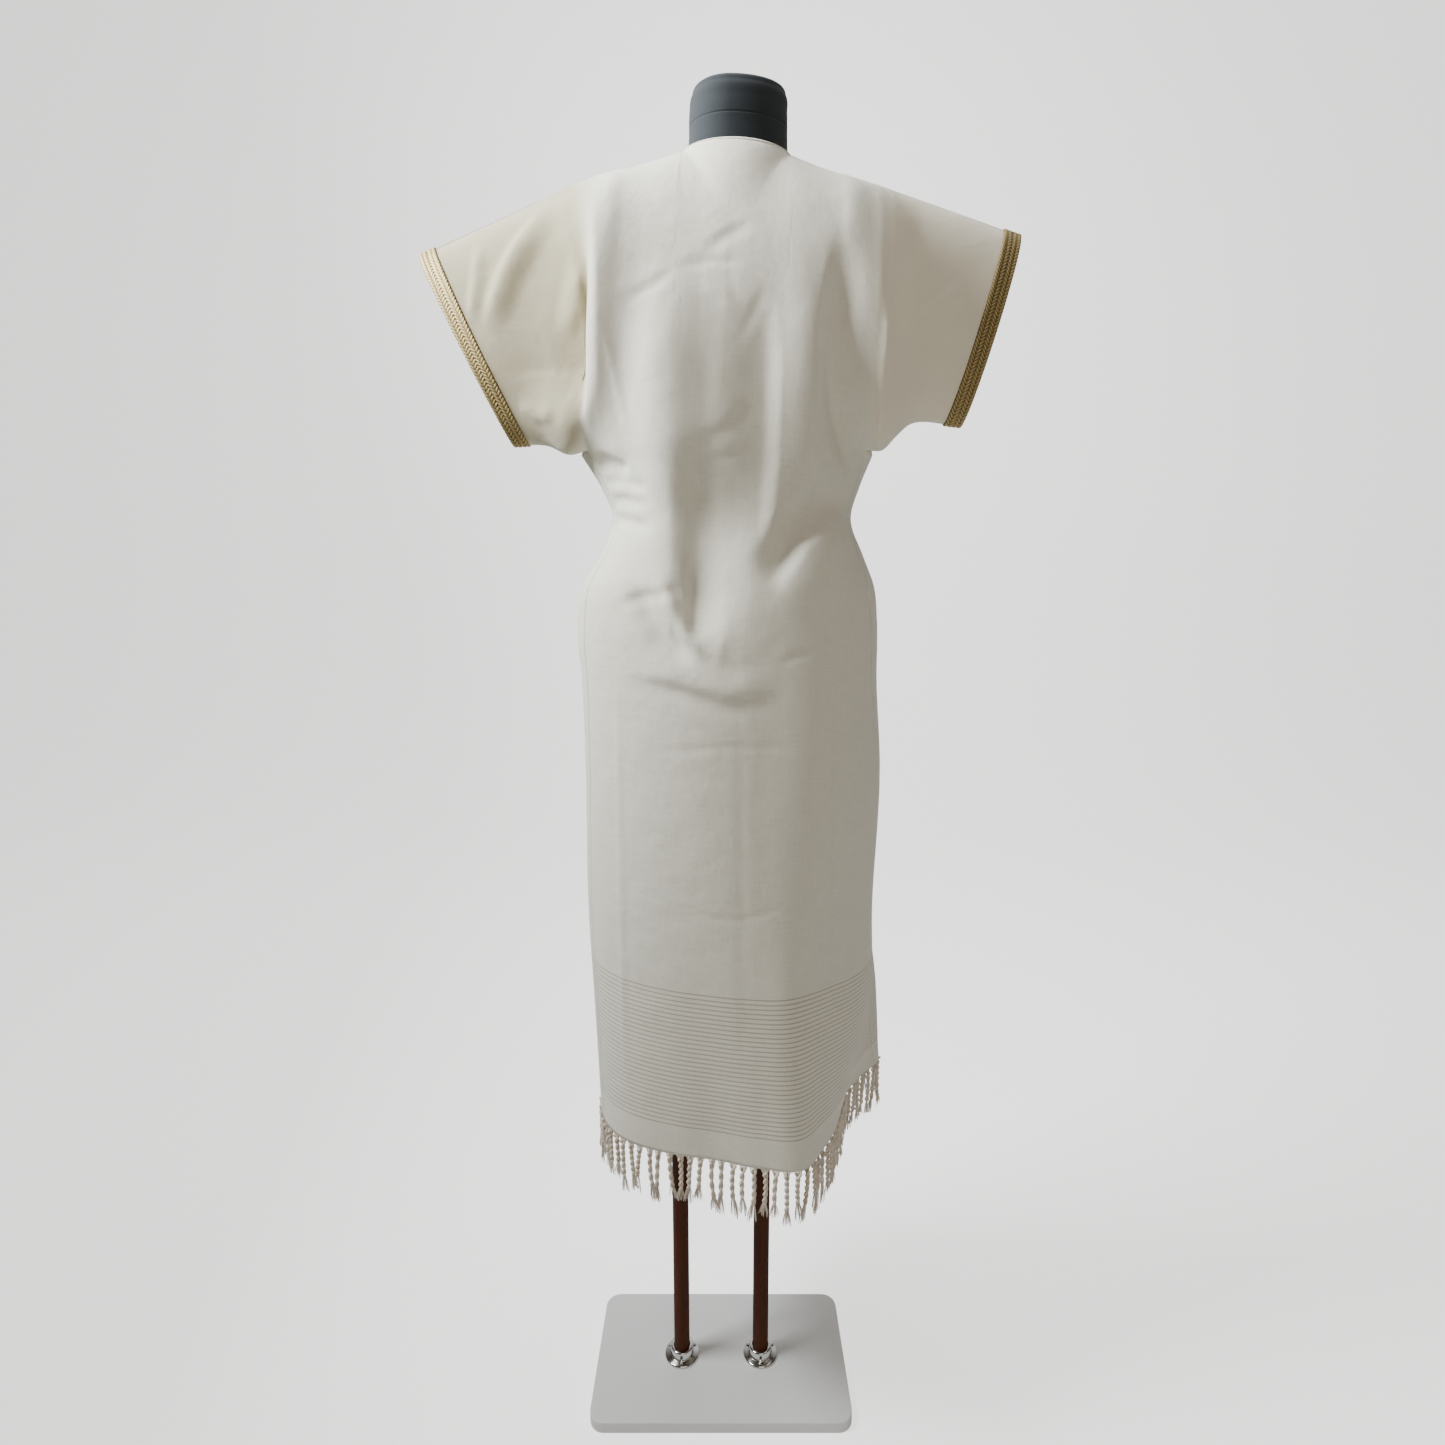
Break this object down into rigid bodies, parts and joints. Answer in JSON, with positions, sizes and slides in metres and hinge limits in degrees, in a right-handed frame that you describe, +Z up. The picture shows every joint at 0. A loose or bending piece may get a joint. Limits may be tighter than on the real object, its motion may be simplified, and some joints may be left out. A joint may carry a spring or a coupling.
{
  "type": "kaftan dress on a limbless dress form and stand",
  "caption": "Short-sleeved kaftan dress of striped, fringed cotton with gold-braided cuffs, worn by a limbless dress form on a two-pole stand.",
  "frame": {"origin": "middle of the base board's underside", "axes": "+Z up along the poles, +X towards the wearer's right, -Y towards the side that the dress's back faces"},
  "size_m": [0.6901, 0.3289, 1.68],
  "materials": {
    "cloth": "ivory cotton, faint weave",
    "fringe": "twisted cotton threads",
    "braid": "woven metallic gold thread",
    "form": "dark slate jersey cover",
    "pole": "red-brown stain, satin varnish",
    "chrome": "polished",
    "dark_steel": "dark, blackened",
    "board": "white lacquer"
  },
  "bodies": {
    "root": {"back_panel": "cloth", "front_panel": "cloth", "back_fringe": "fringe", "front_fringe": "fringe", "left_cuff_braid": "braid", "right_cuff_braid": "braid", "dress_form": "form", "left_pole": "pole", "right_pole": "pole", "left_flange": "chrome", "right_flange": "chrome", "base_board": "board", "left_collar_screw": "dark_steel", "right_collar_screw": "dark_steel", "left_flange_screw_1": "chrome", "left_flange_screw_2": "chrome", "left_flange_screw_3": "chrome", "right_flange_screw_1": "chrome", "right_flange_screw_2": "chrome", "right_flange_screw_3": "chrome"}
  },
  "joints": []
}
